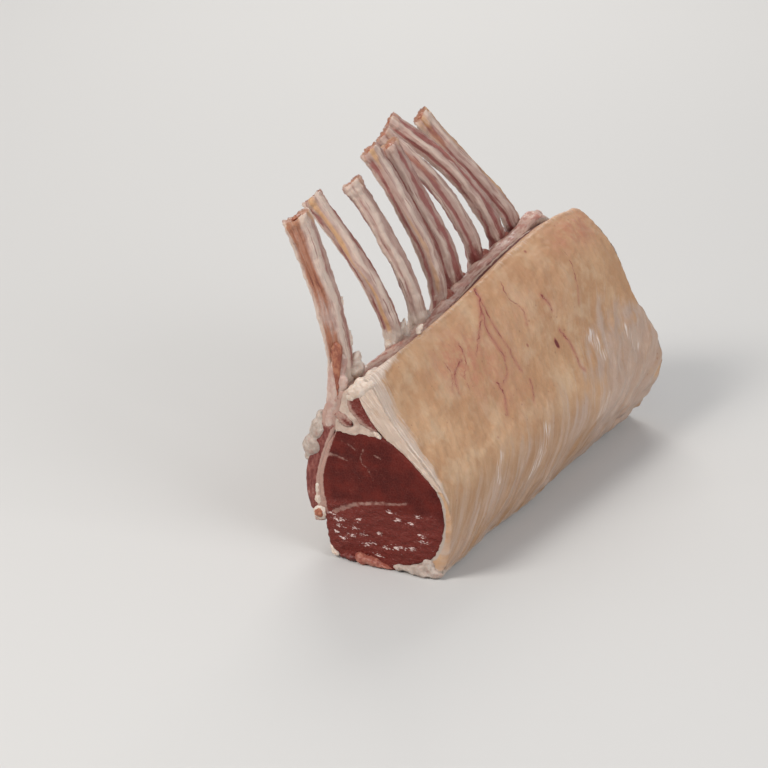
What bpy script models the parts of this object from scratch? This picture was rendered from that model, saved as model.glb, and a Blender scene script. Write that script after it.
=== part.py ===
"""A raw rack of lamb, cap on, standing on its loin with eight frenched ribs up.

Run with: blender --background --python part.py

The rack is drawn as cross-sections along its length. A section lies in the XZ plane: x grows
towards the fat side, z is up, and the front cut face is at y = 0. Each layer of the cut is
one named object: the eye muscle, the fat cap, the strip of lean in the cap, the seam fat, its
small muscle, the rib wall and the eight ribs. Lengths are in millimetres and turned into
metres when a mesh is made.
"""

import math

import bmesh
import bpy
from mathutils import Vector

MM = 0.001

# Driving dimensions, in millimetres
LENGTH = 198.0  # front cut face to rear cut face
RIB_Y = (9.5, 52.0, 72.0, 94.5, 113.5, 135.5, 157.5, 176.0)  # where each rib leaves the meat
RIB_SIZE = (10.6, 6.0)  # a rib's width along the rack, and its thickness
FIRST_RIB_SCALE = 1.42  # the front rib is the broadest and thickest
FRENCHED = 71.0  # bare bone above the meat
GAP = 0.32  # between neighbouring pieces
STATIONS = 12  # sections from front to rear
PER_SPAN = 2  # steps between two points of an outline
RIB_SIDES = 10
BARE_RINGS = 7  # sections along a rib's bare part

# Outlines as (front point, rear point), each an (x, z).
# The skin side of the fat cap, from the top edge round to the end of the lip under the loin.
SKIN = (
    ((-9.6, 83.2), (-2.0, 97.0)),
    ((-4.6, 77.8), (6.5, 92.0)),
    ((0.9, 69.0), (13.5, 86.0)),
    ((8.2, 60.0), (20.5, 76.0)),
    ((17.0, 50.0), (25.8, 62.5)),
    ((26.0, 40.0), (34.0, 50.5)),
    ((29.8, 30.0), (41.0, 39.5)),
    ((30.0, 18.0), (43.2, 30.0)),
    ((27.8, 6.5), (37.5, 14.0)),
    ((22.5, 0.0), (26.0, 0.0)),
    ((8.0, 0.0), (10.0, 0.0)),
)
# The inner side of the fat cap, from the top edge down to the end of the lip.
FAT_INNER = (
    ((-12.5, 80.5), (-5.6, 93.8)),
    ((-12.4, 74.0), (-4.0, 86.0)),
    ((-8.7, 66.5), (3.6, 77.0)),
    ((-2.5, 60.0), (12.0, 67.0)),
    ((8.5, 52.0), (18.0, 58.5)),
    ((15.8, 45.5), (25.0, 48.5)),
    ((22.5, 39.5), (31.0, 41.0)),
    ((25.7, 32.0), (34.6, 33.0)),
    ((25.8, 20.0), (34.0, 22.0)),
    ((22.6, 10.8), (29.0, 11.0)),
    ((15.3, 6.0), (19.0, 6.0)),
    ((8.0, 3.2), (10.0, 3.2)),
)
STRIP_END = 3  # the point of FAT_INNER where the lean strip ends and the eye begins
# The rib side of the strip of lean in the cap, from the top edge down to its tip.
STRIP_INNER = (
    ((-15.6, 77.7), (-9.6, 90.6)),
    ((-17.2, 71.5), (-9.4, 83.0)),
    ((-13.4, 65.6), (-3.6, 75.0)),
    ((-8.2, 62.2), (4.6, 69.4)),
    ((-4.0, 60.6), (10.6, 67.2)),
)
# The top of the eye muscle, from the rib wall to the cap.
EYE_TOP = (
    ((-23.6, 56.0), (-26.0, 57.0)),
    ((-21.0, 57.6), (-18.0, 61.0)),
    ((-12.0, 57.9), (-6.0, 63.2)),
    ((-4.6, 58.6), (9.0, 64.6)),
)
# The foot of the eye muscle, flat on the board, then up to the rib wall.
EYE_FOOT = (
    ((5.0, 0.0), (6.0, 0.0)),
    ((-8.0, 0.0), (-8.0, 0.0)),
    ((-17.5, 0.0), (-19.0, 0.0)),
    ((-22.6, 2.4), (-25.0, 2.6)),
    ((-26.0, 6.4), (-28.6, 7.0)),
    ((-27.2, 12.0), (-30.0, 13.0)),
)
# The side of the rib wall that faces the eye, from its foot to the top edge, with the
# wall's thickness at each point.
WALL_OUTER = (
    ((-27.8, 14.0), (-30.6, 15.0)),
    ((-28.0, 21.0), (-31.6, 24.0)),
    ((-30.0, 29.0), (-33.2, 33.0)),
    ((-30.2, 37.0), (-32.2, 43.0)),
    ((-28.0, 46.0), (-28.6, 53.0)),
    ((-24.2, 57.0), (-23.4, 64.0)),
    ((-21.6, 66.0), (-18.4, 76.0)),
    ((-19.2, 75.4), (-13.6, 88.0)),
)
WALL_THICKNESS = (6.4, 7.2, 7.2, 7.0, 7.2, 7.6, 7.2, 5.6)
EYE_TOP_AT = 5  # the point of WALL_OUTER that the top of the eye reaches
WEB_HEIGHT = 5.0  # a pale web that stands on the wall's top edge behind the last rib
WEB_ENDS = (0.84, 1.0)  # the web's ends along the rack
WEB_STATIONS = (0.87, 0.89, 0.94, 0.97, 0.985)
TOP_RISE = 5.6  # how much higher the top edge stands at its highest, near the rear
TOP_SQUEEZE = 4.5  # how much thinner the layers are at the top edge, near the second rib

# The small muscle in the seam fat, as (front, rear)
SMALL_MIDDLE = ((-17.4, 62.8), (-10.6, 70.6))
SMALL_SIZE = ((3.7, 1.8), (4.6, 2.2))  # half its length and half its thickness
SMALL_TILT = (-28.0, -12.0)  # degrees from level
SMALL_MOVED = 0.55  # its share in the rise and the squeeze of the top edge

RIB_PROUD = 1.8  # how far a rib stands out of the wall
# How many degrees each rib leans from upright, where it leaves the meat and at its tip
RIB_LEAN = (
    (10.0, 24.0), (26.0, 41.0), (20.0, 34.0), (16.0, 33.0),
    (22.0, 27.0), (21.0, 50.0), (24.0, 58.0), (40.0, 36.0),
)
FIRST_FORWARD = 4.0  # how far the front rib's tip lies forward of its foot
MORE_FORWARD = 3.2  # how much farther forward each next rib's tip lies
UNEVEN = 0.05  # how much the bare bones differ in length, as a share
TIP_SWELL = 0.1  # a rib is thicker at its head, where it leaves the meat, and at its tip
HEAD_OUT = 1.0  # how far its sawn head stands out of the wall's foot
SLANT_IN_WALL = 0.4  # a rib's slant within the wall, as a share of its slant above
CUTTER_END = 6.0  # how far the cutter of a rib's groove runs past its head

# Colours as (red, green, blue), and roughness
FAT = ((0.53, 0.36, 0.22), 0.45)
WHITE_FAT = ((0.62, 0.52, 0.43), 0.5)
LEAN = ((0.16, 0.03, 0.026), 0.3)
WALL_LEAN = ((0.25, 0.07, 0.06), 0.35)
BONE = ((0.50, 0.38, 0.31), 0.5)


# ---- curves ---------------------------------------------------------------------------

def mix(a, b, t):
    """The number, or point, that lies t of the way from a to b."""
    if isinstance(a, tuple):
        return tuple(mix(p, q, t) for p, q in zip(a, b))
    return a + (b - a) * t


def ramp(value, start, end):
    """0 up to start, 1 from end on, and straight in between."""
    return min(1.0, max(0.0, (value - start) / (end - start)))


def smooth_line(points):
    """A curve through every point, with PER_SPAN steps between two, none below the board."""
    inside = [Vector(p) for p in points]
    line = [inside[0] * 2 - inside[1]] + inside + [inside[-1] * 2 - inside[-2]]
    found = []
    for a, b, c, d in zip(line, line[1:], line[2:], line[3:]):
        for step in range(PER_SPAN):
            t = step / PER_SPAN
            found.append(0.5 * (2 * b + (c - a) * t + (2 * a - 5 * b + 4 * c - d) * t**2
                                + (3 * b - a - 3 * c + d) * t**3))
    return [Vector((p.x, max(p.y, 0.0))) for p in found] + [inside[-1]]


def shifted(line, by):
    """The line moved to its right, seen with x right and z up, by one length or by one each."""
    steps = by if isinstance(by, list) else [by] * len(line)
    moved = []
    for i, point in enumerate(line):
        along = (line[min(i + 1, len(line) - 1)] - line[max(i - 1, 0)]).normalized()
        moved.append(point + Vector((along.y, -along.x)) * steps[i])
    return moved


# ---- sections: t is 0 at the front cut face and 1 at the rear ----------------------------

def top_rise(t):
    """The top edge stands highest at about four fifths of the length."""
    return TOP_RISE * math.sin(math.pi * t**3)


def top_squeeze(t):
    """The layers are thinnest at the top edge between the second and third rib."""
    return TOP_SQUEEZE * math.sin(math.pi * min(t / 0.6, 1.0))


def layer_line(table, t, squeeze=(0.0, 0.0)):
    """A layer's border at t, with the share of the squeeze that its two ends take."""
    line = smooth_line([mix(front, rear, t) for front, rear in table])
    found = []
    for i, point in enumerate(line):
        share = mix(squeeze[0], squeeze[1], i / (len(line) - 1))
        height = ramp(point.y, 45.0, 80.0)
        found.append(point + Vector((share * top_squeeze(t), top_rise(t))) * height)
    return found


def fat_inner_line(t):
    return layer_line(FAT_INNER, t, (0.35, 0.35))


def strip_inner_line(t):
    return layer_line(STRIP_INNER, t, (0.6, 0.35))


def eye_top_line(t):
    return layer_line(EYE_TOP, t, (1.0, 0.35))


def wall_outer_line(t):
    return layer_line(WALL_OUTER, t, (1.0, 1.0))


def wall_inner_line(t, inward=0.0):
    """The cavity side of the rib wall, or a line that far inside the wall."""
    outer = wall_outer_line(t)
    depth = []
    for i in range(len(outer)):
        before = min(i // PER_SPAN, len(WALL_THICKNESS) - 2)
        near, far = WALL_THICKNESS[before:before + 2]
        depth.append(inward - mix(near, far, i / PER_SPAN - before))
    return shifted(outer, depth)


def eye_outline(t):
    cap_side = shifted(fat_inner_line(t)[PER_SPAN * STRIP_END:], GAP)
    foot = smooth_line([mix(front, rear, t) for front, rear in EYE_FOOT])
    wall_side = shifted(wall_outer_line(t)[1:PER_SPAN * EYE_TOP_AT], GAP)
    return eye_top_line(t) + cap_side[1:] + foot + wall_side


def fat_outline(t):
    return layer_line(SKIN, t) + fat_inner_line(t)[::-1]


def strip_outline(t):
    outer = shifted(fat_inner_line(t)[:PER_SPAN * STRIP_END], GAP)
    return outer + strip_inner_line(t)[::-1]


def seam_outline(t):
    strip_side = shifted(strip_inner_line(t), GAP)
    eye_side = [p + Vector((0, GAP)) for p in eye_top_line(t)]
    wall_side = shifted(wall_outer_line(t)[PER_SPAN * EYE_TOP_AT + 1:], GAP)
    return strip_side + eye_side[:0:-1] + wall_side


def wall_outline(t):
    """The rib wall, whose top edge swells into a pale web between the last rib and the rear."""
    swell = Vector((0, WEB_HEIGHT * math.sin(math.pi * ramp(t, *WEB_ENDS))))
    outer = wall_outer_line(t)
    inner = wall_inner_line(t)
    return outer[:-1] + [outer[-1] + swell, inner[-1] + swell] + inner[-2::-1]


def small_muscle_outline(t, grow=0.0):
    """A leaf shape that lies in the seam fat, in front near the rib wall."""
    moved = Vector((0.8 * top_squeeze(t), top_rise(t))) * SMALL_MOVED
    middle = Vector(mix(*SMALL_MIDDLE, t)) + moved
    length, thick = mix(*SMALL_SIZE, t)
    tilt = math.radians(mix(*SMALL_TILT, t))
    points = []
    for step in range(RIB_SIDES):
        angle = math.tau * step / RIB_SIDES
        across = Vector(((length + grow) * math.cos(angle), (thick + grow) * math.sin(angle)))
        turned = Vector((across.x * math.cos(tilt) - across.y * math.sin(tilt),
                         across.x * math.sin(tilt) + across.y * math.cos(tilt)))
        points.append(middle + turned)
    return points


# ---- ribs -----------------------------------------------------------------------------

def rib_path(index):
    """The middle of a rib, from its sawn head at the wall's foot to its frenched tip."""
    slant = (FIRST_FORWARD + MORE_FORWARD * index) / FRENCHED
    wall = wall_inner_line(RIB_Y[index] / LENGTH)[::PER_SPAN]
    points = []
    for i, leaving in enumerate(wall):
        y = RIB_Y[index] + SLANT_IN_WALL * slant * (wall[-1].y - leaving.y)
        section = wall_inner_line(y / LENGTH, RIB_SIZE[1] / 2 - RIB_PROUD)[PER_SPAN * i]
        points.append(Vector((section.x, y, section.y)))
    points[0] -= (points[1] - points[0]).normalized() * HEAD_OUT
    step = FRENCHED * (1.0 + UNEVEN * math.sin(2.4 * index + 0.5)) / BARE_RINGS
    for ring in range(BARE_RINGS):
        angle = math.radians(mix(*RIB_LEAN[index], (ring + 0.5) / BARE_RINGS))
        points.append(points[-1] + Vector((-math.sin(angle), -slant, math.cos(angle))) * step)
    for _ in range(2):  # eases the bend where the rib leaves the meat
        for i in range(len(wall) - 2, len(wall) + 2):
            points[i] = (points[i - 1] + points[i] * 2 + points[i + 1]) / 4
    return points


def rib_rings(index, grow=0.0):
    """Sections across a rib: flat ovals, swollen at the head and at the tip."""
    path = rib_path(index)
    scale = FIRST_RIB_SCALE if index == 0 else 1.0
    rings = []
    for i, middle in enumerate(path):
        before, after = path[max(i - 1, 0)], path[min(i + 1, len(path) - 1)]
        along = (after - before).normalized()
        across = Vector((0, 1, 0)) - along * along.y
        across.normalize()
        through = along.cross(across)
        at = i / (len(path) - 1)
        swell = 1.0 + TIP_SWELL * (ramp(at, 0.88, 1.0) + ramp(at, 0.5, 0.6) - ramp(at, 0.0, 0.3))
        width = RIB_SIZE[0] / 2 * scale * swell + grow
        thick = RIB_SIZE[1] / 2 * scale * swell + grow
        ring = []
        for side in range(RIB_SIDES):
            angle = math.tau * side / RIB_SIDES
            sideways = across * width * math.cos(angle)
            ring.append(middle + sideways + through * thick * math.sin(angle))
        rings.append(ring)
    if grow:
        rings[0] = [p + (path[0] - path[1]).normalized() * CUTTER_END for p in rings[0]]
    return rings


# ---- objects --------------------------------------------------------------------------

def material(name, look):
    made = bpy.data.materials.new(name)
    made.use_nodes = True
    shader = made.node_tree.nodes["Principled BSDF"]
    shader.inputs["Base Color"].default_value = (*look[0], 1)
    shader.inputs["Roughness"].default_value = look[1]
    return made


def loft(name, rings, look):
    """A closed solid through rings of (x, y, z) points, with a flat face at either end."""
    mesh = bmesh.new()
    loops = [[mesh.verts.new(Vector(p) * MM) for p in ring] for ring in rings]
    for near, far in zip(loops, loops[1:]):
        for i in range(len(near)):
            j = (i + 1) % len(near)
            mesh.faces.new((near[i], near[j], far[j], far[i]))
    mesh.faces.new(loops[0][::-1])
    mesh.faces.new(loops[-1])
    bmesh.ops.recalc_face_normals(mesh, faces=mesh.faces)
    bmesh.ops.triangulate(mesh, faces=mesh.faces)
    data = bpy.data.meshes.new(name)
    mesh.to_mesh(data)
    mesh.free()
    data.shade_smooth()
    data.set_sharp_from_angle(angle=math.radians(45))
    made = bpy.data.objects.new(name, data)
    bpy.context.scene.collection.objects.link(made)
    data.materials.append(look)
    return made


def layer(name, outline, look, overrun=0.0, extra=()):
    """A layer that runs through the whole rack, or past both ends of it."""
    places = sorted([step / STATIONS for step in range(STATIONS + 1)] + list(extra))
    stations = [(LENGTH * t, t) for t in places]
    if overrun:
        stations = [(-overrun, 0.0)] + stations + [(LENGTH + overrun, 1.0)]
    rings = [[(p.x, y, p.y) for p in outline(t)] for y, t in stations]
    return loft(name, rings, look)


def cut(solid, cutters):
    """Takes the cutters out of the solid, and deletes them."""
    bpy.context.view_layer.objects.active = solid
    for cutter in cutters:
        boolean = solid.modifiers.new("cut", "BOOLEAN")
        boolean.operation = "DIFFERENCE"
        boolean.solver = "EXACT"
        boolean.object = cutter
        bpy.ops.object.modifier_apply(modifier=boolean.name)
        bpy.data.objects.remove(cutter)


def centre_on_origin():
    """Moves everything so that the origin is under the middle of the rack, on the board."""
    solids = list(bpy.context.scene.objects)
    corners = [vertex.co for solid in solids for vertex in solid.data.vertices]
    low = Vector(min(corner[i] for corner in corners) for i in range(3))
    high = Vector(max(corner[i] for corner in corners) for i in range(3))
    for solid in solids:
        solid.location = (-(low.x + high.x) / 2, -(low.y + high.y) / 2, -low.z)


def main():
    for found in list(bpy.data.objects):
        bpy.data.objects.remove(found)
    lean = material("lean", LEAN)
    wall_lean = material("wall_lean", WALL_LEAN)
    fat = material("fat", FAT)
    white = material("white_fat", WHITE_FAT)
    bone = material("bone", BONE)

    layer("eye_muscle", eye_outline, lean)
    layer("fat_cap", fat_outline, fat)
    layer("cap_lean", strip_outline, lean)
    seam = layer("seam_fat", seam_outline, white)
    layer("small_muscle", small_muscle_outline, lean)
    cut(seam, [layer("cutter", lambda t: small_muscle_outline(t, GAP), white, 5.0)])

    wall = layer("rib_wall", wall_outline, wall_lean, extra=WEB_STATIONS)
    cut(wall, [loft("cutter", rib_rings(index, GAP), bone) for index in range(len(RIB_Y))])
    for index in range(len(RIB_Y)):
        loft(f"rib_{index + 1}", rib_rings(index), bone)
    centre_on_origin()


main()
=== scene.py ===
import math

import bmesh
import bpy
import numpy as np
from mathutils import Matrix, Vector
from mathutils.bvhtree import BVHTree


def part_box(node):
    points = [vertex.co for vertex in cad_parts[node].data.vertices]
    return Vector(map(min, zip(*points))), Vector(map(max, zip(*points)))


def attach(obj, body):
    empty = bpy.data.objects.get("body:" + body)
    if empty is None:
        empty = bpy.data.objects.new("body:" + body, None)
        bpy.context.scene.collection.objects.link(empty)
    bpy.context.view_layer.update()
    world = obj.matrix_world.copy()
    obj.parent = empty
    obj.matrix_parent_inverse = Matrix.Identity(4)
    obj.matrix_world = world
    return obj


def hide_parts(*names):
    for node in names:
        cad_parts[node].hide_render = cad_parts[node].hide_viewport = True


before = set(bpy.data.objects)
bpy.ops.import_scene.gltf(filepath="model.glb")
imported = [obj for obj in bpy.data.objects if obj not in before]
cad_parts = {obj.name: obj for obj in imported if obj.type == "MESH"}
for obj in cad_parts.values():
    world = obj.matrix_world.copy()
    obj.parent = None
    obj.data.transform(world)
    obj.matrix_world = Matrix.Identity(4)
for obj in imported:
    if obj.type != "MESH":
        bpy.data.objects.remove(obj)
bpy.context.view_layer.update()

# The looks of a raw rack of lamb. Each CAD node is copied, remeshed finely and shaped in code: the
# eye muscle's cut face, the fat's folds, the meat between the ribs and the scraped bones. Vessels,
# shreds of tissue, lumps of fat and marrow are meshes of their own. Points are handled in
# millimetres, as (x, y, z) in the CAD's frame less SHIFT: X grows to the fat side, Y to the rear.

MM = 0.001
RIBS = [f"rib_{number}" for number in range(1, 9)]
LAYERS = ["eye_muscle", "fat_cap", "cap_lean", "seam_fat", "small_muscle", "rib_wall"]
EYE_LOW, EYE_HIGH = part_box("eye_muscle")
FRONT = -98.5  # the front cut face, along Y
REAR = FRONT + (EYE_HIGH.y - EYE_LOW.y) / MM  # the rear one
EYE_RIGHT = 45.6  # the eye muscle's right edge, along X
SHIFT = np.array([EYE_HIGH.x / MM - EYE_RIGHT, EYE_LOW.y / MM - FRONT, 0])
SEAM = 1.0  # how far each of two layers grows into the other where they touch
TOUCHING = 0.8  # layers closer than this touch
WELD = 0.002  # corners closer than this are one


# ---- numbers on points ----

def lattice(seed):
    """A table of shuffled numbers, and one of random directions, for noise()."""
    dice = np.random.default_rng(seed)
    turns = dice.normal(size=(256, 3))
    return dice.permutation(256), turns / np.linalg.norm(turns, axis=1)[:, None]


def noise(points, size, seed=0, octaves=1):
    """Smooth random bumps, about -1 to 1 high and size across, which may differ by axis."""
    order, turns = lattice(seed)
    place = points / np.asarray(size, float)
    total = np.zeros(len(points))
    strength = 1.0
    for _ in range(octaves):
        cell = np.floor(place).astype(int)
        part = place - cell
        fade = part**3 * (part * (part * 6 - 15) + 10)
        for corner in np.ndindex(2, 2, 2):
            at = cell + corner
            pick = order[(order[(order[at[:, 0] & 255] + at[:, 1]) & 255] + at[:, 2]) & 255]
            height = ((part - corner) * turns[pick]).sum(1)
            total += strength * 1.7 * height * np.where(corner, fade, 1 - fade).prod(1)
        # The next round is twice as fine and half as high. The odd numbers keep it out of step.
        place = place * 2.03 + 11.7
        strength *= 0.5
    return total


def step(value, start, end):
    """0 up to start, 1 from end on, with a smooth rise between. Start may be above end."""
    x = np.clip((value - start) / (end - start), 0, 1)
    return x * x * (3 - 2 * x)


def bell(value, middle, width):
    """1 at the middle, falling to nearly 0 over twice the width."""
    return np.exp(-(((value - middle) / width) ** 2))


def blob(points, middle, size):
    """1 at the middle, falling to nearly 0 over twice the size, which may differ by axis."""
    return np.exp(-(((points - np.asarray(middle, float)) / np.asarray(size, float)) ** 2).sum(1))


def line_distance(points, line):
    """Each point's distance from a line of several points, and how far along it, from 0 to 1."""
    line = np.asarray(line, float)
    best = np.full(len(points), np.inf)
    along = np.zeros(len(points))
    for i, (a, b) in enumerate(zip(line, line[1:])):
        t = np.clip(((points - a) @ (b - a)) / ((b - a) @ (b - a)), 0, 1)
        away = np.linalg.norm(points - a - t[:, None] * (b - a), axis=1)
        closer = away < best
        best = np.where(closer, away, best)
        along = np.where(closer, (i + t) / (len(line) - 1), along)
    return best, along


# ---- meshes ----

def add_object(name, points, faces):
    """A new object in the scene from points in millimetres."""
    mesh = bpy.data.meshes.new(name)
    mesh.from_pydata(((np.asarray(points) + SHIFT) * MM).tolist(), [], [tuple(f) for f in faces])
    mesh.update()
    piece = bpy.data.objects.new(name, mesh)
    bpy.context.scene.collection.objects.link(piece)
    return piece


def points_of(piece):
    """A piece's points, in millimetres."""
    found = np.empty(len(piece.data.vertices) * 3)
    piece.data.vertices.foreach_get("co", found)
    return found.reshape(-1, 3) / MM - SHIFT


def normals_of(piece):
    found = np.empty(len(piece.data.vertices) * 3)
    piece.data.vertex_normals.foreach_get("vector", found)
    return found.reshape(-1, 3)


def move_to(piece, points):
    """Moves a piece's points to new places, none of them below the floor."""
    points = np.array(points)
    points[:, 2] = np.maximum(points[:, 2], 0)
    piece.data.vertices.foreach_set("co", ((points + SHIFT) * MM).ravel())
    piece.data.update()


def store(piece, name, values):
    """Keeps a number, or a vector, for each vertex, for the material to read."""
    values = np.asarray(values, float)
    kind, field = ("FLOAT", "value") if values.ndim == 1 else ("FLOAT_VECTOR", "vector")
    layer = piece.data.attributes.new(name, kind, "POINT")
    layer.data.foreach_set(field, values.ravel())


def store_share(piece, name, values):
    """store(), with the numbers held between 0 and 1."""
    store(piece, name, np.clip(values, 0, 1))


def smoothed(piece, points, rounds):
    """The points, each drawn towards its neighbours."""
    edges = np.empty(len(piece.data.edges) * 2, int)
    piece.data.edges.foreach_get("vertices", edges)
    a, b = edges.reshape(-1, 2).T
    size = len(points)
    count = np.maximum(np.bincount(a, minlength=size) + np.bincount(b, minlength=size), 1)
    for _ in range(rounds):
        total = [np.bincount(a, axis[b], size) + np.bincount(b, axis[a], size) for axis in points.T]
        points = points + 0.5 * (np.stack(total, 1) / count[:, None] - points)
    return points


def cad_shape(node):
    """A CAD node's merged points and faces."""
    mesh = bmesh.new()
    mesh.from_mesh(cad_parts[node].data)
    bmesh.ops.remove_doubles(mesh, verts=mesh.verts, dist=WELD * MM)
    points = np.array([v.co[:] for v in mesh.verts]) / MM - SHIFT
    faces = [[v.index for v in face.verts] for face in mesh.faces]
    mesh.free()
    return points, faces


def swollen(node, points, faces, by):
    """The shape with its sides moved out, more where another layer touches, but not its cut faces."""
    push = np.zeros_like(points)
    for face in faces:
        corners = points[face]
        normal = np.cross(corners[1] - corners[0], corners[2] - corners[0])
        size = np.linalg.norm(normal)
        if size and abs(normal[1]) < 0.9 * size:
            push[face] += normal
    push[:, 1] = 0
    push /= np.maximum(np.linalg.norm(push, axis=1), 1e-12)[:, None]
    amount = np.full(len(points), float(by))
    if node in LAYERS:
        for other in LAYERS:
            if other != node:
                near = gaps(points, tree_of(*cad_shape(other)), amount < SEAM) < TOUCHING
                amount[near] = SEAM
    return points + push * amount[:, None]


def remeshed(name, points, faces, voxel, squash=1.0):
    """The shape in quads of voxel millimetres, longer along Y where squashed."""
    points = np.array(points)
    points[:, 1] *= squash
    rough = add_object(name + "_rough", points, faces)
    modifier = rough.modifiers.new("remesh", "REMESH")
    modifier.mode = "VOXEL"
    modifier.voxel_size = voxel * MM
    graph = bpy.context.evaluated_depsgraph_get()
    mesh = bpy.data.meshes.new_from_object(rough.evaluated_get(graph))
    mesh.materials.clear()
    piece = bpy.data.objects.new(name, mesh)
    bpy.context.scene.collection.objects.link(piece)
    bpy.data.objects.remove(rough)
    points = points_of(piece)
    points[:, 1] /= squash
    move_to(piece, points)
    return piece


def fine_copy(name, node, voxel, swell, squash=1.0, rounds=3):
    """A remeshed and smoothed copy of a CAD node, with its points and its normals."""
    points, faces = cad_shape(node)
    piece = remeshed(name, swollen(node, points, faces, swell), faces, voxel, squash)
    points = smoothed(piece, points_of(piece), rounds)
    move_to(piece, points)
    return piece, points, normals_of(piece)


def finish_piece(piece, material, slot, *nodes):
    """Gives a piece its material, and says what it rides on and which CAD nodes it replaces."""
    piece.data.materials.append(material)
    piece.data.shade_smooth()
    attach(piece, "root")
    if nodes:
        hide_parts(*nodes)
    return piece


def tree_of(points, faces):
    """For finding a shape's nearest point."""
    return BVHTree.FromPolygons([Vector(p) for p in points], faces)


def gaps(points, tree, which):
    """The distance from the tree's shape of the points picked, and 9 for the others."""
    away = np.full(len(points), 9.0)
    for i in np.nonzero(which)[0]:
        away[i] = tree.find_nearest(Vector(points[i]))[3]
    return away


def cut_faces(points, normals):
    """How much each point belongs to the front cut face, and to the rear one."""
    front = step(points[:, 1], FRONT + 1.6, FRONT + 0.5) * step(-normals[:, 1], 0.25, 0.75)
    rear = step(points[:, 1], REAR - 1.6, REAR - 0.5) * step(normals[:, 1], 0.25, 0.75)
    return front, rear


# ---- materials ----

class Look:
    """A node material, built by short calls that each return an output socket.

    A mask is a number at each point of the surface, which says where a colour goes.
    """

    def __init__(self, name, roughness, shine=0.5, glow=0.0, depth=1.0, radius=(1.0, 0.5, 0.35)):
        """Some of the light, a share called glow, goes into the surface, depth millimetres deep."""
        self.material = bpy.data.materials.new(name)
        self.material.use_nodes = True
        self.tree = self.material.node_tree
        self.shader = self.tree.nodes["Principled BSDF"]
        for socket, value in (
                ("Roughness", roughness), ("Specular IOR Level", shine), ("Subsurface Weight", glow),
                ("Subsurface Scale", depth * MM), ("Subsurface Radius", radius)):
            self.shader.inputs[socket].default_value = value

    def put(self, socket, value):
        """Links an output to the socket, or sets the socket's own value."""
        if isinstance(value, bpy.types.NodeSocket):
            self.tree.links.new(value, socket)
        elif isinstance(value, tuple) and len(value) == 3 and socket.type == "RGBA":
            socket.default_value = (*value, 1)
        else:
            socket.default_value = value

    def node(self, kind, inputs=(), **settings):
        made = self.tree.nodes.new(kind)
        for name, value in settings.items():
            setattr(made, name, value)
        for socket, value in dict(inputs).items():
            self.put(made.inputs[socket], value)
        return made

    def stored(self, name, vector=False):
        """What store() kept under this name."""
        made = self.node("ShaderNodeAttribute", attribute_name=name)
        return made.outputs["Vector" if vector else "Fac"]

    def place(self, stretch=(1, 1, 1), turn=(0, 0, 0)):
        """Where the point is, in millimetres, turned and then squeezed by stretch."""
        source = self.node("ShaderNodeTexCoord").outputs["Object"]
        inputs = {"Vector": source, "Rotation": turn, "Scale": (1 / MM,) * 3}
        turned = self.node("ShaderNodeMapping", inputs)
        return self.squeeze(turned.outputs["Vector"], stretch)

    def squeeze(self, source, stretch):
        scale = tuple(1 / s for s in stretch)
        return self.node("ShaderNodeMapping", {"Vector": source, "Scale": scale}).outputs["Vector"]

    def noise(self, size, place=None, detail=2.0, rough=0.5, warp=0.0):
        """Noise whose bumps are size millimetres across, from 0 to 1."""
        inputs = {"Vector": place or self.place(), "Scale": 1 / size, "Detail": detail}
        inputs |= {"Roughness": rough, "Distortion": warp}
        return self.node("ShaderNodeTexNoise", inputs).outputs["Fac"]

    def streaks(self, source, stretch, **settings):
        """Noise in the source's space, drawn out to stretch millimetres along each axis."""
        return self.noise(1.0, self.squeeze(source, stretch), **settings)

    def cells(self, size, place=None, feature="F1"):
        """The distance to the middle, or the edge, of cells that are size millimetres across."""
        inputs = {"Vector": place or self.place(), "Scale": 1 / size}
        return self.node("ShaderNodeTexVoronoi", inputs, feature=feature).outputs["Distance"]

    def sum(self, kind, a, b):
        return self.node("ShaderNodeMath", {0: a, 1: b}, operation=kind).outputs[0]

    def times(self, a, b):
        return self.sum("MULTIPLY", a, b)

    def shaken(self, value, noise, strength):
        """The value, moved up and down by the noise."""
        return self.sum("ADD", value, self.times(self.sum("SUBTRACT", noise, 0.5), strength))

    def mask(self, name, noise, strength):
        """A stored number, moved up and down by the noise."""
        return self.shaken(self.stored(name), noise, strength)

    def rise(self, value, start, end, low=0.0, high=1.0):
        """Low up to start, high from end on, smooth in between."""
        inputs = {"Value": value, "From Min": start, "From Max": end, "To Min": low, "To Max": high}
        made = self.node("ShaderNodeMapRange", inputs, interpolation_type="SMOOTHSTEP")
        return made.outputs["Result"]

    def mix(self, share, a, b):
        """Colour a where the share is 0 and b where it is 1."""
        made = self.node("ShaderNodeMix", data_type="RGBA")
        for socket, value in zip(("Factor", 6, 7), (share, a, b)):
            self.put(made.inputs[socket], value)
        return made.outputs[2]

    def blend(self, a, b, mask, start, end, most=1.0):
        """Colour a, which turns into b as the mask goes from start to end, or most of the way."""
        return self.mix(self.rise(mask, start, end, 0.0, most), a, b)

    def done(self, colour, bumps=(), roughness=None):
        """Sets the colour, the relief as (height, millimetres) pairs, and maybe the roughness."""
        self.put(self.shader.inputs["Base Color"], colour)
        normal = None
        for height, depth in bumps:
            inputs = {"Height": height, "Distance": depth * MM}
            if normal:
                inputs["Normal"] = normal
            normal = self.node("ShaderNodeBump", inputs).outputs["Normal"]
        if normal:
            self.put(self.shader.inputs["Normal"], normal)
        if roughness is not None:
            self.put(self.shader.inputs["Roughness"], roughness)
        return self.material


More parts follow.
